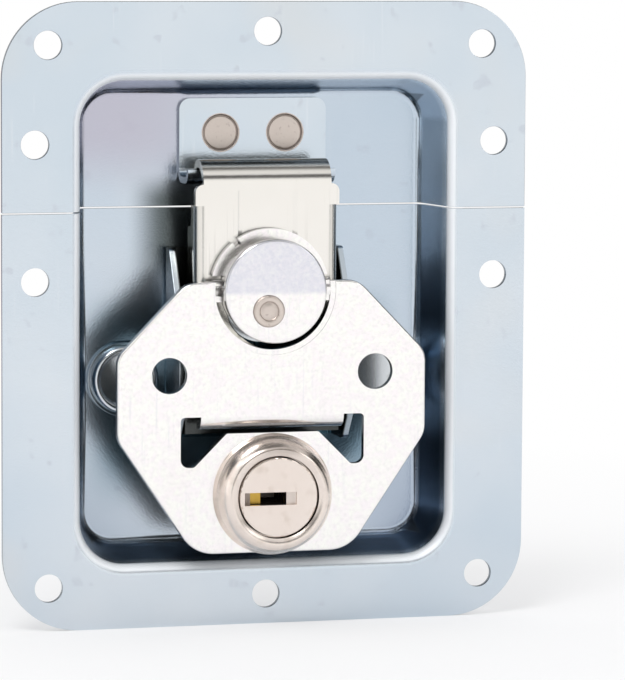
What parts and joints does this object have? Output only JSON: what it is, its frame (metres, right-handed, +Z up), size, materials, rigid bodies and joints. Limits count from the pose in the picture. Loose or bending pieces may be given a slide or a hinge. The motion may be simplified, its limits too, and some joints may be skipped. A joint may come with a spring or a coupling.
{
  "type": "butterfly case latch",
  "caption": "Recessed butterfly case latch: a two-part pressed dish, a drawn hook on a rotary cam, a folding wing handle and a key lock.",
  "frame": {"origin": "back face of the flange, on the centre line, where the upper and lower dish halves meet", "axes": "+X to the right seen from the front, +Z up the case wall, the front faces -Y"},
  "size_m": [0.0982, 0.0257, 0.1143],
  "materials": {
    "dish_zinc": "bluish zinc plate on pressed sheet",
    "bright_zinc": "bright zinc plate",
    "hook_zinc": "warm zinc plate",
    "rivet_steel": "turned steel, faintly pink",
    "plated_steel": "zinc plate on turned parts",
    "spring_steel": "drawn spring wire",
    "lock_nickel": "satin nickel",
    "wafer_brass": "plain brass"
  },
  "bodies": {
    "base": {"lower_dish": "dish_zinc", "upper_dish": "dish_zinc", "strike_plate": "dish_zinc", "strike_rivet_left": "rivet_steel", "strike_rivet_right": "rivet_steel", "latch_base": "dish_zinc", "base_eyelet_left": "plated_steel", "base_eyelet_right": "plated_steel", "shaft_bush": "plated_steel", "lock_catch": "dish_zinc"},
    "cam": {"cam_shaft": "plated_steel", "shaft_washer": "plated_steel", "cam_drum": "bright_zinc", "cam_disc": "bright_zinc", "crank_rivet": "rivet_steel", "hinge_pin": "plated_steel", "wing_spring": "spring_steel"},
    "hook": {"hook_plate": "hook_zinc"},
    "wing": {"wing": "bright_zinc", "lock_housing": "lock_nickel", "lock_nut": "plated_steel"},
    "plug": {"lock_plug": "lock_nickel", "lock_wafer_1": "wafer_brass", "lock_wafer_2": "wafer_brass", "lock_wafer_3": "wafer_brass", "lock_wafer_4": "wafer_brass", "lock_tongue": "plated_steel", "tongue_washer": "plated_steel", "tongue_screw": "plated_steel"}
  },
  "joints": [
    {"name": "cam_turn", "type": "hinge", "parent": "base", "child": "cam", "pos_m": [0, 0, -0.0142], "axis": [0, -1, 0], "range_deg": [0, 180]},
    {"name": "hook_draw", "type": "slide", "parent": "base", "child": "hook", "axis": [0, 0, 1], "range_m": [0, 0.00706]},
    {"name": "wing_lift", "type": "hinge", "parent": "cam", "child": "wing", "pos_m": [0, -0.00375, -0.0142], "axis": [-1, 0, 0], "range_deg": [0, 90]},
    {"name": "plug_turn", "type": "hinge", "parent": "wing", "child": "plug", "pos_m": [0, 0, -0.0515], "axis": [0, 1, 0], "range_deg": [0, 90]}
  ],
  "couplings": [
    {"joint": "hook_draw", "follows": "cam_turn", "m_per_rad": 0.0022446},
    {"joint": "wing_lift", "follows": "cam_turn", "ratio": 0.5}
  ]
}
